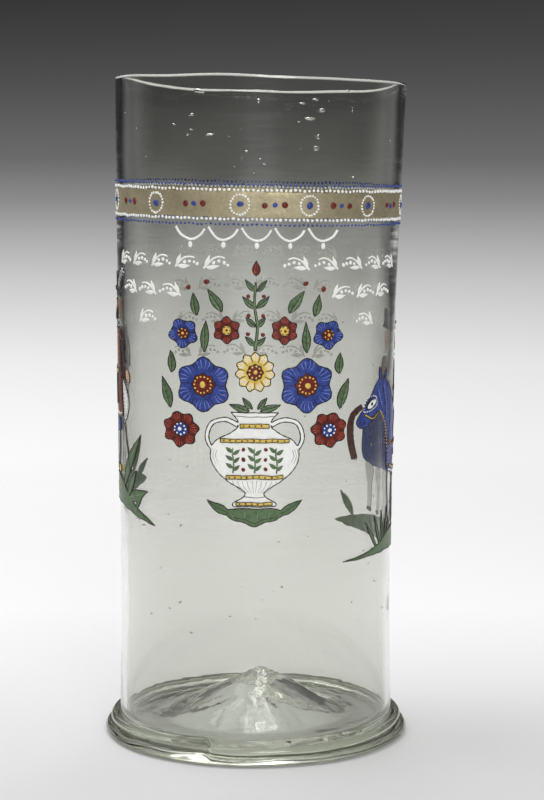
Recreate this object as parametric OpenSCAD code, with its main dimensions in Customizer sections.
// Tall blown-glass humpen with a wound foot, a gilt dotted band and fired enamel painting.
// Millimetres, +Z up, origin on the table under the middle of the foot, painted front towards -Y.

/* [Vessel] */
// Height of the vessel from the table to the top of the rim
height = 303; // [294:1:322]
// Outer radius of the mouth
mouth_r = 65.5; // [60:0.1:72]
// How much narrower than the mouth the wall is half way up
middle_in = 2.3; // [1.5:0.1:3]
// Height of the place half way up
middle_z = 168; // [160:1:180]
// How much narrower than the mouth the waist is, low on the wall
waist_in = 3.2; // [2.5:0.1:4]
// Height of the waist
waist_z = 56; // [45:1:65]
// How much narrower than the mouth the wall is where it begins to turn under
heel_in = 2.1; // [1.5:0.1:2.8]
// Thickness of the wall, the same up to the rim
wall = 2.8; // [2.2:0.1:3.6]

/* [Base] */
// Thickness of the pushed-in base
base_t = 4; // [3:0.1:5]
// Slope of the pushed-in cone, in degrees
kick_slope = 27; // [22:1:32]
// Radius of the rounded tip of the cone, on the inside
tip_r = 7; // [6:0.5:10]
// Height of the lowest place of the floor inside
valley_z = 8.3; // [8:0.1:10]
// Radius of the hollow round the foot of the cone
valley_round = 10; // [8:0.5:12]
// Width of the flat floor between the hollow and the corner
floor_w = 12.8; // [10:0.1:15]
// Radius of the inside corner between floor and wall
heel_round = 3.5; // [3:0.5:4.5]
// Radius of the broken pontil ring under the cone
pontil_r = 9; // [7:0.5:12]

/* [Foot] */
// How far the wound foot ring stands out beyond the heel
foot_out = 7.1; // [6.6:0.1:9]
// Height of the outer shoulder of the foot ring
foot_h = 6.4; // [5.8:0.1:6.8]
// Width of the rounded outside of the foot ring
foot_bulge = 3.2; // [2.5:0.1:3.6]
// Width of the flat ring that stands on the table
stand_w = 9; // [6:0.5:10]
// Radius of the second turn of the trail, lying on the foot ring
trail_r = 2; // [1.8:0.1:2.4]

/* [Gilt band] */
// Distance from the rim down to the middle of the band
band_drop = 57.3; // [52:0.1:60]
// Distance between the two rows of white dots
white_rows = 12.5; // [12:0.1:14]
// Distance between the two rows of blue dots
blue_rows = 17; // [16:0.1:18]
// Thickness of the gilding
gilt_t = 0.1; // [0.08:0.01:0.2]
// Radius of a white dot of the rows
white_dot = 0.62; // [0.5:0.01:0.75]
// Radius of a blue dot of the rows
blue_dot = 0.52; // [0.4:0.01:0.65]
// Number of dots in each row
row_dots = 200; // [160:1:210]
// Radius of a ring of pearl dots
pearl_r = 4.1; // [3.6:0.1:4.6]
// Number of pearl dots in a ring
pearls = 20; // [14:1:20]
// Radius of one pearl dot
pearl_dot = 0.52; // [0.4:0.01:0.6]
// Number of pearl rings round the band
rings = 11; // [8:1:12]
// Turn of the first ring from the front, in degrees
ring_phase = -12.5; // [-16:0.5:16]
// Radius of the blue boss in the middle of a ring
boss_r = 1.5; // [1:0.1:1.9]
// Radius of a red dot between two rings
red_r = 1.2; // [0.8:0.1:1.5]
// Radius of the blue dot between two red ones
trio_r = 0.95; // [0.7:0.05:1.2]
// Turn from the blue dot to a red one, in degrees
trio_turn = 3.6; // [3:0.1:4.5]

/* [Enamel] */
// Thickness of one coat of enamel
coat_t = 0.4; // [0.3:0.05:0.6]
// Film between the glass and what is fired on it, so that the two surfaces don't cut each other
bond = 0.02; // [0.01:0.01:0.05]
// Clear space between the blue dots and the festoons
swag_gap = 0.48; // [0.3:0.01:1]
// Clear space between the festoons and the bud at the top of the flower piece
bud_gap = 4.7; // [3:0.1:6]
// Distance from the band down to the middle of the flower piece
motif_drop = 81; // [79:1:85]
// Turn of the standing figure from the front, to the left
left_turn = 84; // [82:1:90]
// Distance from the band down to the feet of the standing figure
left_drop = 123; // [121:1:128]
// Turn of the rider from the front, to the right
right_turn = 94; // [92:1:98]
// Distance from the band down to the ground of the rider
right_drop = 148; // [146:1:152]

/* [Hidden] */
$fn = 96;
heel_turn = 90;
steps = 11;
mid_wall = wall / 2;
middle_r = mouth_r - middle_in;
waist_r = mouth_r - waist_in;
heel_r = mouth_r - heel_in;
foot_r = heel_r + foot_out;
// Size of the painting against its drawing, which is made for a mouth of 65.5 mm
art = mouth_r / 65.5;
band_z = height - band_drop;
// Highest and lowest place of the festoons and top of the bud, in their drawings
swag_top = 0.5;
swag_low = -8.9;
bud_top = 57.4;
swag_z = band_z - blue_rows / 2 - blue_dot - swag_gap - art * swag_top;
motif_z = band_z - motif_drop;
// Upright size of the flower piece, whose bud ends under the festoons
rise = (swag_z + art * swag_low - bud_gap - motif_z) / bud_top;
left_z = band_z - left_drop;
right_z = band_z - right_drop;
heel_cx = heel_r - wall - heel_round;
heel_cz = valley_z + heel_round;
valley_cx = heel_cx - floor_w;
valley_cz = valley_z + valley_round;
cone_r = valley_cx - valley_round * sin(kick_slope);
cone_z = valley_cz - valley_round * cos(kick_slope);
tip_cz = cone_z + (cone_r - tip_r * sin(kick_slope)) * tan(kick_slope) - tip_r * cos(kick_slope);
ring_step = 360 / rings;
skin_lo = heel_cz + 2;
skin_hi = height - 8;

// Node to draw, or all of them

// Points along an arc.
function arc(cx, cy, r, a0, a1, n) =
    [for (i = [0:n]) let (a = a0 + (a1 - a0) * i / n) [cx + r * cos(a), cy + r * sin(a)]];

// A list from its end to its start.
function back(list) = [for (i = [len(list) - 1:-1:0]) list[i]];

// Outside of the heel at an angle below the horizontal.
function heel_pt(a) = let (r = heel_round + wall + (base_t - wall) * a / heel_turn)
    [heel_cx + r * cos(a), heel_cz - r * sin(a)];

// Underside of the hollow, counted in steps from the flat floor to the cone.
function valley_pt(i) = let (a = 90 + kick_slope * i / steps)
    [valley_cx + (valley_round + base_t) * cos(a), valley_cz - (valley_round + base_t) * sin(a)];

// Height of the underside of the cone at a radius.
function under_z(r) = let (e = valley_pt(steps)) e[1] + (e[0] - r) * tan(kick_slope);

// Outer radius of the wall at a height.
function wall_r(z) =
    lookup(z, [[heel_cz, heel_r], [waist_z, waist_r], [middle_z, middle_r], [height - mid_wall, mouth_r]]);

// Outline of the wall's outside, moved out by t.
function skin(t) = [
    [wall_r(skin_lo) + t, skin_lo],
    [waist_r + t, waist_z],
    [middle_r + t, middle_z],
    [wall_r(skin_hi) + t, skin_hi]
];

// A smooth curve through points, n steps to each stretch, open or closed.
function through(p, n, closed) = let (m = len(p), last = closed ? m - 1 : m - 2)
    [for (i = [0:last], j = [0:n - 1]) blend(
        p[closed ? (i + m - 1) % m : max(i - 1, 0)],
        p[i],
        p[(i + 1) % m],
        p[closed ? (i + 2) % m : min(i + 2, m - 1)],
        j / n
    )];

// One point of a smooth stretch between b and c.
function blend(a, b, c, d, t) =
    0.5 * (2 * b + (c - a) * t + (2 * a - 5 * b + 4 * c - d) * t * t + (3 * b - 3 * c + d - a) * t * t * t);

// Direction square to a line of points at point i.
function side(p, i) = let (d = p[min(i + 1, len(p) - 1)] - p[max(i - 1, 0)]) [-d[1], d[0]] / norm(d);

// A brush stroke along points, w0 wide at its start and w1 at its end.
function stroke(p, w0, w1) = let (m = len(p) - 1) concat(
    [for (i = [0:m]) p[i] + side(p, i) * (w0 + (w1 - w0) * i / m) / 2],
    [for (i = [m:-1:0]) p[i] - side(p, i) * (w0 + (w1 - w0) * i / m) / 2]
);

// A leaf from its root at p in direction a, bent sideways at its tip.
function leaf(p, a, l, w, bend) = let (
    n = 8,
    line = [for (i = [0:n]) let (t = i / n) [l * t, bend * t * t]],
    half = [for (i = [0:n]) w / 2 * sin(180 * pow(i / n, 0.8))],
    edge = concat(
        [for (i = [0:n]) line[i] + [0, half[i]]],
        [for (i = [n - 1:-1:1]) line[i] - [0, half[i]]]
    )
) [for (q = edge) p + [q[0] * cos(a) - q[1] * sin(a), q[0] * sin(a) + q[1] * cos(a)]];

// A flower with lobes round its edge.
function rosette(p, r, lobes, deep, turn) = [for (i = [0:lobes * 6 - 1]) let (
    a = i * 60 / lobes,
    q = r * (1 - deep + deep * cos(a * lobes))
) p + q * [cos(a + turn), sin(a + turn)]];

// An oval, turned by a.
function oval(p, rx, ry, a) = [for (i = [0:19]) let (x = rx * cos(i * 18), y = ry * sin(i * 18))
    p + [x * cos(a) - y * sin(a), x * sin(a) + y * cos(a)]];

// An outline and its mirror image.
module pair(outline) {
    polygon(outline);
    polygon([for (p = back(outline)) [-p[0], p[1]]]);
}

// A drawing laid on the wall at a turn and a height, in a coat of enamel counted from the glass.
module on_wall(turn, z, coat = 0, up = art) {
    intersection() {
        rotate_extrude() polygon(concat(skin(bond + coat * coat_t), back(skin(bond + (coat + 1) * coat_t))));
        rotate([0, 0, turn]) rotate([90, 0, 0]) translate([0, z, 0])
            linear_extrude(height = mouth_r + 5) scale([art, up]) children();
    }
}

// A drawing of the flower piece at the front.
module on_front(coat = 0) {
    on_wall(0, motif_z, coat, rise) children();
}

// A domed drop of enamel on the wall.
module drop(turn, z, r, tall, lift = 0) {
    ball = (r * r + tall * tall) / (2 * tall);
    rotate([0, 0, turn - 90]) translate([wall_r(z) + bond + lift, 0, z]) rotate([0, 90, 0]) intersection() {
        translate([0, 0, tall - ball]) sphere(r = ball, $fn = 24);
        translate([-1.5 * r, -1.5 * r, 0]) cube([3 * r, 3 * r, 2 * tall]);
    }
}

// A drop in a drawing that is laid on the wall at a turn and a height.
module drop_at(turn, z, p, r, tall, lift = 0, up = art) {
    y = z + up * p[1];
    drop(turn + asin(art * p[0] / wall_r(y)), y, min(art, up) * r, tall, lift);
}

// A row of drops all round the wall.
module dot_row(z, r) {
    for (i = [0:row_dots - 1]) drop(i * 360 / row_dots, z, r, r * 0.8);
}

// The blown vessel: wall, fire-rounded rim and pushed-in base in one.
module glass_body() {
    color([0.8, 0.86, 0.82, 0.4]) rotate_extrude() polygon(concat(
        back(arc(0, tip_cz, tip_r - base_t, 90 - kick_slope, 90, 4)),
        [for (i = [steps:-1:0]) valley_pt(i)],
        [for (a = [heel_turn:-5:0]) heel_pt(a)],
        [[waist_r, waist_z], [middle_r, middle_z]],
        arc(mouth_r - mid_wall, height - mid_wall, mid_wall, 0, 180, 10),
        [[middle_r - wall, middle_z], [waist_r - wall, waist_z]],
        arc(heel_cx, heel_cz, heel_round, 0, -heel_turn, 8),
        arc(valley_cx, valley_cz, valley_round, -90, -90 - kick_slope, 9),
        arc(0, tip_cz, tip_r, 90 - kick_slope, 90, 6)
    ));
}

// First turn of the foot trail, pressed flat where it stands.
module foot_ring() {
    seat = [for (a = [45:5:heel_turn]) heel_pt(a)];
    inner = heel_pt(heel_turn)[0] + 0.6;
    color([0.72, 0.78, 0.68, 0.6]) rotate_extrude() polygon(concat(
        seat,
        [[inner, 2], [foot_r - 0.9 - stand_w, 0], [foot_r - 0.9, 0]],
        arc(foot_r - 0.9, 0.9, 0.9, -60, 0, 3),
        [for (a = [10:10:90]) [foot_r - foot_bulge * (1 - cos(a)), 0.9 + (foot_h - 0.9) * sin(a)]]
    ));
}

// Second turn of the foot trail, in the corner between foot ring and wall.
module foot_trail() {
    low = heel_pt(45);
    edge = [foot_r - foot_bulge, foot_h];
    rest = low + 0.78 * (edge - low);
    color([0.75, 0.8, 0.72, 0.6]) rotate_extrude() polygon(concat(
        [low, rest],
        arc(rest[0] - trail_r * 0.64, rest[1] + trail_r * 0.77, trail_r, -38, 74, 10),
        [for (a = [10:5:40]) heel_pt(a)]
    ));
}

// Broken ring of glass left where the pontil was knocked off.
module pontil_scar() {
    color([0.7, 0.76, 0.7, 0.7]) rotate_extrude() polygon([
        [pontil_r - 4.5, under_z(pontil_r - 4.5)],
        [pontil_r - 4.1, under_z(pontil_r - 4.1) - 0.8],
        [pontil_r - 0.5, under_z(pontil_r - 0.5) - 0.7],
        [pontil_r, under_z(pontil_r)]
    ]);
}

// Gilding between the two rows of white dots.
module gilt_band() {
    lo = band_z - white_rows / 2 + white_dot + 0.1;
    hi = band_z + white_rows / 2 - white_dot - 0.1;
    color([0.68, 0.63, 0.48]) rotate_extrude() polygon([
        [wall_r(lo) + bond, lo], [wall_r(lo) + bond + gilt_t, lo],
        [wall_r(hi) + bond + gilt_t, hi], [wall_r(hi) + bond, hi]
    ]);
}

// Upper row of white dots.
module white_dots_upper() {
    color([0.93, 0.93, 0.9]) dot_row(band_z + white_rows / 2, white_dot);
}

// Lower row of white dots.
module white_dots_lower() {
    color([0.93, 0.93, 0.9]) dot_row(band_z - white_rows / 2, white_dot);
}

// Upper row of blue dots.
module blue_dots_upper() {
    color([0.15, 0.22, 0.6]) dot_row(band_z + blue_rows / 2, blue_dot);
}

// Lower row of blue dots.
module blue_dots_lower() {
    color([0.15, 0.22, 0.6]) dot_row(band_z - blue_rows / 2, blue_dot);
}

// Rings of white pearl dots on the gilding.
module pearl_rings() {
    color([0.93, 0.93, 0.9]) for (k = [0:rings - 1], i = [0:pearls - 1]) {
        a = i * 360 / pearls;
        z = band_z + pearl_r * 1.06 * sin(a);
        turn = ring_phase + k * ring_step + asin(pearl_r * cos(a) / wall_r(z));
        drop(turn, z, pearl_dot, pearl_dot * 0.8, gilt_t);
    }
}

// Blue boss in the middle of each ring.
module ring_bosses() {
    color([0.15, 0.22, 0.6]) for (k = [0:rings - 1])
        drop(ring_phase + k * ring_step, band_z, boss_r, boss_r * 0.47, gilt_t);
}

// Red outer dots of the trios between the rings.
module trio_reds() {
    color([0.5, 0.1, 0.08]) for (k = [0:rings - 1], s = [-1, 1])
        drop(ring_phase + (k + 0.5) * ring_step + s * trio_turn, band_z, red_r, red_r * 0.5, gilt_t);
}

// Blue middle dot of each trio.
module trio_blues() {
    color([0.15, 0.22, 0.6]) for (k = [0:rings - 1])
        drop(ring_phase + (k + 0.5) * ring_step, band_z, trio_r, trio_r * 0.53, gilt_t);
}

// White vase with two scrolled handles.
module vase() {
    half = through([
        [9, -50], [9.6, -48.4], [5, -45.6], [4.6, -43], [11, -39.4], [17, -34], [19.5, -27.5], [17.5, -21.5],
        [11, -17.6], [7.4, -15], [7.3, -12.4], [9.2, -10], [10.5, -8.5]
    ], 3, false);
    grip = through([
        [7, -14], [13, -11.8], [18.6, -13.4], [20.8, -19], [19.6, -23.4], [16.4, -25.5]
    ], 4, false);
    color([0.92, 0.92, 0.9]) on_front() {
        polygon(concat([for (p = half) [-p[0], p[1]]], [[-10.5, -8.5], [10.5, -8.5]], back(half)));
        pair(stroke(grip, 2.2, 1.6));
    }
}

// Yellow bands of the vase.
module vase_bands() {
    color([0.9, 0.72, 0.25]) on_front(1) {
        translate([-6.4, -15.4]) square([12.8, 2]);
        translate([-15, -21.8]) square([30, 1.8]);
        translate([-12.6, -37.8]) square([25.2, 1.8]);
        translate([-8, -49.4]) square([16, 1.6]);
    }
}

// Green sprigs on the belly of the vase.
module vase_sprigs() {
    color([0.25, 0.38, 0.24]) on_front(1) for (x = [-9.5, 0, 9.5]) {
        stem = [[x, -35.2], [x + 0.3, -31], [x - 0.2, -27], [x, -23.4]];
        polygon(stroke(through(stem, 3, false), 0.8, 0.5));
        for (i = [0:2]) {
            polygon(leaf([x, -34 + i * 3.5], 28, 3.9, 1.9, 0.5));
            polygon(leaf([x, -33 + i * 3.5], 152, 3.9, 1.9, -0.5));
        }
    }
}

// Red berries between the sprigs.
module vase_berries() {
    color([0.5, 0.1, 0.08]) for (x = [-4.8, 4.8], y = [-33.5, -29.2, -24.9])
        drop_at(0, motif_z, [x, y], 0.85, 0.5, coat_t, rise);
}

// Large and small blue flowers.
module blue_flowers() {
    color([0.12, 0.2, 0.6]) on_front() {
        pair(rosette([22.5, 3], 12.3, 6, 0.1, 90));
        pair(rosette([31.5, 25], 6.8, 5, 0.12, 60));
    }
}

// Red flowers at the sides and above.
module red_flowers() {
    color([0.45, 0.1, 0.08]) on_front() {
        pair(rosette([32.4, -17], 8.2, 7, 0.1, 20));
        pair(rosette([12.5, 27], 6.2, 6, 0.12, 30));
    }
}

// Yellow flower in the middle.
module yellow_flower() {
    color([0.9, 0.72, 0.25]) on_front() polygon(rosette([0, 9], 9, 11, 0.09, 90));
}

// Red hearts of the blue and yellow flowers.
module red_hearts() {
    color([0.45, 0.1, 0.08]) on_front(1) {
        polygon(rosette([0, 9], 3.8, 8, 0.08, 0));
        pair(rosette([22.5, 3], 5.4, 8, 0.09, 0));
        pair(rosette([31.5, 25], 2.8, 6, 0.08, 0));
    }
}

// Blue hearts of the side flowers.
module blue_hearts() {
    color([0.12, 0.2, 0.6]) on_front(1)
        pair(rosette([32.4, -17], 3.6, 7, 0.09, 0));
}

// Yellow hearts of the upper red flowers.
module yellow_hearts() {
    color([0.9, 0.72, 0.25]) on_front(1)
        pair(rosette([12.5, 27], 2.5, 6, 0.08, 0));
}

// Middle stem and green leaves of the flower piece.
module leaves() {
    color([0.25, 0.38, 0.24]) on_front() {
        polygon(stroke(through([[0, 18.4], [0.7, 28], [-0.6, 39], [0, 50]], 4, false), 1.5, 0.9));
        pair(leaf([0, 20.5], 34, 6, 2.6, 0.8));
        pair(leaf([0, 28.5], 38, 6.4, 2.7, 0.8));
        pair(leaf([0, 36.5], 36, 8, 3, 1));
        pair(leaf([0, 44], 38, 7, 2.6, 1));
        pair(leaf([2.2, -8], 14, 9.6, 3.4, 0.6));
        pair(leaf([1, -7.2], 44, 7, 2.8, 0.6));
        pair(leaf([37, -8], 78, 14, 4.4, -1));
        pair(leaf([36.6, 7.4], 92, 9.6, 3.8, -1));
        pair(leaf([22.2, 17], 90, 14, 3.8, 0.6));
        pair(leaf([14.4, 34.5], 62, 12, 4.4, -1.2));
        pair(leaf([25.6, 33], 74, 10, 3.8, 1));
    }
}

// Red buds along the middle stem.
module stem_buds() {
    color([0.5, 0.1, 0.08]) {
        on_front() polygon(leaf([0, 50.4], 90, 7, 4, 0));
        for (x = [-3.2, 3.2], y = [25.4, 33.4, 41.9]) drop_at(0, motif_z, [x, y], 0.9, 0.6, 0, rise);
        for (x = [-21.4, 21.4]) drop_at(0, motif_z, [x, 47.6], 1.2, 0.7, 0, rise);
        for (x = [-29.2, 29.2]) drop_at(0, motif_z, [x, 45], 1.2, 0.7, 0, rise);
    }
}

// Green ground under the vase.
module mound() {
    color([0.25, 0.38, 0.24]) on_front() {
        polygon(through([
            [-13.5, -52.4], [-8, -50.6], [0, -50.7], [8, -50.6], [13.5, -52.4],
            [9.5, -55.8], [4.5, -57], [0, -59], [-4.5, -57], [-9.5, -55.8]
        ], 3, true));
        pair(leaf([10.5, -53.4], 24, 12, 4, 1.4));
    }
}

// White festoons under the band.
module garland() {
    color([0.93, 0.93, 0.9]) on_wall(0, swag_z) for (k = [-2:2]) {
        x = k * 14.4;
        swag = [[x - 6.6, 0.2], [x - 4, -3.6], [x, -5.2], [x + 4, -3.6], [x + 6.6, 0.2]];
        polygon(stroke(through(swag, 4, false), 1, 1));
        polygon(oval([x, -7.4], 1, 1.5, 0));
    }
}

// One white sprig: a bowed stem with two leaves.
module sprig() {
    polygon(stroke(through([[-5.5, -3], [-2, 0.6], [1.6, 2], [5.2, 1]], 3, false), 1, 0.6));
    polygon(leaf([-4.6, -2.2], 74, 5.6, 2, -0.6));
    polygon(leaf([-4.4, -2.4], -4, 6.4, 2, 0.8));
}

// Hanging bells of one sprig.
module bells(turn, z, hand) {
    for (q = [[-0.6, -0.6], [1.7, 0], [3.9, -0.5], [5.6, -1.3]])
        drop_at(turn, z, [hand * q[0], q[1]], 0.72, 0.5);
}

// Places of the front sprigs: turn, drop below the band, hand.
function sprig_places() = concat(
    [for (i = [0:4]) [-66 + i * 12.5, 24.6, 1]],
    [for (i = [0:4]) [66 - i * 12.5, 24.6, -1]],
    [for (i = [0:2]) [-61 + i * 12.5, 37, -1]],
    [for (i = [0:2]) [61 - i * 12.5, 37, 1]],
    [for (s = [-1, 1]) [s * 49, 49.4, -s]]
);

// White sprigs beside the flower piece.
module sprigs() {
    color([0.93, 0.93, 0.9]) for (p = sprig_places())
        on_wall(p[0], band_z - art * p[1]) scale([p[2], 1]) sprig();
}

// Bells of the front sprigs.
module sprig_bells() {
    color([0.93, 0.93, 0.9]) for (p = sprig_places()) bells(p[0], band_z - art * p[1], p[2]);
}

// Places of the sprigs on the back: turn, drop below the band, hand.
function back_places() = [for (row = [0:3], i = [0:5]) [
    180 + (i - 2.5) * 13.5 + (row % 2) * 3, 25 + row * 16, (i + row) % 2 == 0 ? 1 : -1
]];

// White sprigs on the back.
module back_sprigs() {
    color([0.93, 0.93, 0.9]) for (p = back_places())
        on_wall(p[0], band_z - art * p[1]) scale([p[2], 1]) sprig();
}

// Bells of the sprigs on the back.
module back_bells() {
    color([0.93, 0.93, 0.9]) for (p = back_places()) bells(p[0], band_z - art * p[1], p[2]);
}

// Ground and plants under the standing figure.
module left_ground() {
    color([0.27, 0.36, 0.24]) on_wall(-left_turn, left_z) {
        polygon(through([
            [-36, -9], [-20, -2.6], [-8, -0.6], [6, -0.6], [15, -4], [26, -11.4], [40, -19.4], [24, -15.8],
            [4, -12.6], [-18, -13]
        ], 3, true));
        polygon(leaf([15, -6], 62, 31, 5.4, -3));
        polygon(leaf([20, -9], 60, 15, 4.6, -1));
        polygon(leaf([21, -9.6], 12, 16, 5.4, 1.6));
        polygon(leaf([28, -13.6], 58, 8, 2.2, 0));
        polygon(leaf([-20, -5], 118, 20, 4.6, 2));
        polygon(leaf([-26, -7], 140, 13, 4.4, 1));
    }
}

// Long coat of the standing figure.
module left_coat() {
    color([0.36, 0.12, 0.1]) on_wall(-left_turn, left_z) polygon(through([
        [-6, 66], [-10.4, 63], [-11.4, 52], [-13, 38], [-15.4, 27], [-4, 25.4], [8, 25.6],
        [14.6, 27.6], [12.4, 40], [10.6, 52], [10.2, 62], [6, 66], [0, 64.6]
    ], 3, true));
}

// Hat, feather, sleeves and beard of the standing figure.
module left_dark() {
    color([0.12, 0.11, 0.1]) {
        on_wall(-left_turn, left_z) {
            polygon(through([
                [-9, 80.2], [-5, 82.4], [-5, 89], [0, 91], [5, 89], [5, 82.4], [9, 80.2], [0, 79.2]
            ], 3, true));
            polygon(leaf([6.6, 83], 48, 15, 4.6, -1.4));
            polygon(stroke(through([[11.2, 60], [14.6, 55], [18, 48.6]], 4, false), 3.2, 4.2));
            polygon(stroke(through([[-12, 60], [-15.6, 53], [-15.6, 44]], 4, false), 3.2, 4.2));
        }
        on_wall(-left_turn, left_z, 1) polygon(through([
            [-4, 74.4], [-2.6, 72.8], [0, 72.4], [2.6, 72.8], [4, 74.4], [2.8, 69.8], [0, 68.7], [-2.8, 69.8]
        ], 3, true));
    }
}

// White collar, hanging sleeve and stockings of the standing figure.
module left_linen() {
    color([0.88, 0.88, 0.87]) on_wall(-left_turn, left_z) {
        polygon(oval([0, 67.4], 6.6, 0.9, 0));
        polygon(through([[14.4, 42.6], [19, 40], [22.4, 33], [19.8, 26], [16.4, 25.4], [15.2, 33]], 4, true));
        for (leg = [
            [[-7.6, 18.6], [-2.6, 18.6], [-3.4, 10], [-4, 4.4], [-6.4, 4.4], [-7.4, 11]],
            [[2.2, 18.6], [7.2, 18.6], [7.4, 11], [6.6, 4.4], [4.2, 4.4], [3, 10]]
        ]) polygon(through(leg, 3, true));
    }
}

// Head and hands of the standing figure.
module left_skin() {
    color([0.86, 0.68, 0.54]) on_wall(-left_turn, left_z) {
        polygon(oval([0, 73.8], 4.6, 5.2, 0));
        polygon(oval([20.8, 45], 2.2, 3.2, 28));
        polygon(oval([-15.6, 40], 1.9, 2.6, 0));
    }
}

// Shoes, staff, belt and hat band of the standing figure.
module left_gold() {
    color([0.88, 0.7, 0.25]) {
        on_wall(-left_turn, left_z) {
            polygon(oval([-5.8, 1.9], 3.6, 1.9, 8));
            polygon(oval([6.4, 1.9], 3.8, 1.9, -10));
            polygon(stroke([[17.4, 23.6], [20, 14], [23.6, 2]], 1.3, 0.9));
        }
        on_wall(-left_turn, left_z, 1) {
            polygon(stroke(through([[-11, 47.4], [0, 45.6], [10, 47.4]], 4, false), 2, 2));
            polygon(stroke([[0, 44.2], [1, 38], [3, 31]], 1.6, 2.2));
            polygon(stroke(through([[-4.6, 83.6], [0, 82.8], [4.6, 83.6]], 4, false), 1.2, 1.2));
        }
    }
}

// Blue breeches of the standing figure.
module left_hose() {
    color([0.16, 0.22, 0.55]) on_wall(-left_turn, left_z) {
        polygon(through([[-8, 24.8], [-1.4, 24.8], [-1.8, 19.4], [-8.4, 19.4]], 3, true));
        polygon(through([[1.4, 24.8], [8, 24.8], [8.4, 19.4], [1.8, 19.4]], 3, true));
    }
}

// Ground and grass under the rider.
module right_ground() {
    color([0.27, 0.36, 0.24]) on_wall(right_turn, right_z) {
        polygon(through([
            [-52, -10], [-36, -6.4], [-22, -1], [-4, 0], [14, -0.4], [30, -2], [46, -7],
            [30, -10], [8, -10.6], [-16, -9.4], [-36, -9.6]
        ], 3, true));
        for (i = [0:4]) polygon(leaf([-34 + i * 2.6, -7.6 + i * 0.8], 122 - i * 13, 16, 1.7, 0));
        polygon(leaf([36, -4], 60, 14, 4, -1));
    }
}

// Blue horse cloth with hood.
module right_cloth() {
    color([0.2, 0.25, 0.58]) on_wall(right_turn, right_z) {
        polygon(through([
            [-30, 70], [-23, 66], [-14, 57.5], [-4, 54], [10, 54.6], [22, 56.4], [29, 51], [30.4, 38],
            [29, 25.6], [16, 23], [0, 24.4], [-14, 24.6], [-24.4, 28], [-26, 39], [-28, 49], [-34, 55],
            [-43, 49.4], [-47, 49.8], [-47.6, 53.6], [-41, 63], [-36, 70]
        ], 3, true));
        polygon(leaf([-33.4, 69.4], 104, 6.6, 2.6, 0));
        polygon(leaf([-29.6, 69], 82, 6.2, 2.6, 0));
    }
}

// White legs of the horse, eye trim and collar of the rider.
module right_legs() {
    color([0.86, 0.86, 0.84]) {
        on_wall(right_turn, right_z) {
            for (leg = [
                [[-24, 26.4], [-17, 23.4], [-18.6, 13], [-18, 3.6], [-21.6, 3.6], [-23, 13]],
                [[-14, 23.2], [-7.4, 23.4], [-8.6, 13], [-7.6, 3.6], [-11.2, 3.6], [-12.6, 13]],
                [[7, 22.4], [15, 21.8], [12.6, 13], [13.6, 3.6], [9.8, 3.6], [9, 13]],
                [[18, 22], [27, 23.6], [24, 13], [24.6, 3.6], [20.8, 3.6], [20.2, 13]]
            ]) polygon(through(leg, 3, true));
            polygon(oval([2, 78.4], 5.6, 0.9, 0));
        }
        on_wall(right_turn, right_z, 1) polygon(oval([-40.6, 59.6], 3.4, 1.8, 32));
    }
}

// Coat and leg of the rider, tail of the horse.
module right_coat() {
    color([0.36, 0.14, 0.1]) {
        on_wall(right_turn, right_z) {
            polygon(through([
                [-6, 56.2], [-7.4, 65], [-5.4, 75], [2, 77], [9.4, 75], [10.6, 65], [8.6, 56.4]
            ], 3, true));
            polygon(stroke(through([[31, 50], [37, 45], [38.4, 34], [35.4, 22]], 4, false), 2.4, 4));
        }
        on_wall(right_turn, right_z, 1) polygon(through([
            [-4.4, 52.6], [4.6, 52.8], [5, 42], [1, 33], [-5, 31.8], [-3, 35.4], [-2.4, 43]
        ], 3, true));
    }
}

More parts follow.
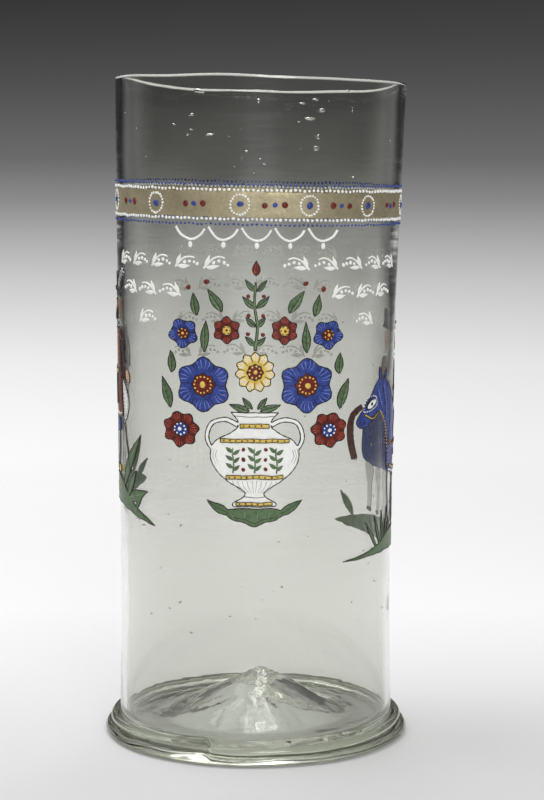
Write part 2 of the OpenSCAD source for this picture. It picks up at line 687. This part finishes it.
// Hat, sleeve and beard of the rider, hooves of the horse.
module right_dark() {
    color([0.12, 0.11, 0.1]) {
        on_wall(right_turn, right_z) {
            polygon(through([
                [-6.4, 90.6], [-3, 92.6], [-2.6, 98], [2, 99.6], [6.6, 98], [7, 92.6], [10.4, 90.6], [2, 89.8]
            ], 3, true));
            for (x = [-20, -9.6, 11.6, 22.6]) polygon(oval([x, 1.9], 2.8, 1.3, 0));
        }
        on_wall(right_turn, right_z, 1) {
            polygon(stroke(through([[5.4, 72], [2.6, 64.6], [-6, 63.4]], 4, false), 4, 3));
            polygon(through([
                [-1.6, 85], [-0.4, 83.4], [2, 83], [4.4, 83.4], [5.6, 85],
                [4.4, 80.8], [2, 79.8], [-0.4, 80.8]
            ], 3, true));
        }
    }
}

// Head and hand of the rider.
module right_skin() {
    color([0.86, 0.68, 0.54]) on_wall(right_turn, right_z) {
        polygon(oval([2, 84.5], 4.2, 4.9, 0));
        polygon(oval([-9.8, 63.6], 2, 1.6, 0));
    }
}

// Harness, saddle edge and hat band of the rider and horse.
module right_gold() {
    color([0.88, 0.7, 0.25]) on_wall(right_turn, right_z, 1) {
        polygon(stroke(through([[-25, 41], [-16, 38.6], [-6.4, 40]], 4, false), 1.5, 1.5));
        polygon(stroke(through([[7, 41], [18, 40], [29, 42]], 4, false), 1.5, 1.5));
        polygon(stroke(through([[-23.2, 29.4], [-10, 26.8], [10, 26.4], [28, 27.4]], 4, false), 1.4, 1.4));
        polygon(stroke(through([[-44.6, 55.2], [-40, 53], [-35, 56.4]], 4, false), 1, 1));
        polygon(stroke(through([[-2.6, 93.6], [2, 92.8], [6.6, 93.6]], 4, false), 1.1, 1.1));
    }
}

glass_body();
foot_ring();
foot_trail();
pontil_scar();
gilt_band();
white_dots_upper();
white_dots_lower();
blue_dots_upper();
blue_dots_lower();
pearl_rings();
ring_bosses();
trio_reds();
trio_blues();
vase();
vase_bands();
vase_sprigs();
vase_berries();
blue_flowers();
red_flowers();
yellow_flower();
red_hearts();
blue_hearts();
yellow_hearts();
leaves();
stem_buds();
mound();
garland();
sprigs();
sprig_bells();
back_sprigs();
back_bells();
left_ground();
left_coat();
left_dark();
left_linen();
left_skin();
left_gold();
left_hose();
right_ground();
right_cloth();
right_legs();
right_coat();
right_dark();
right_skin();
right_gold();
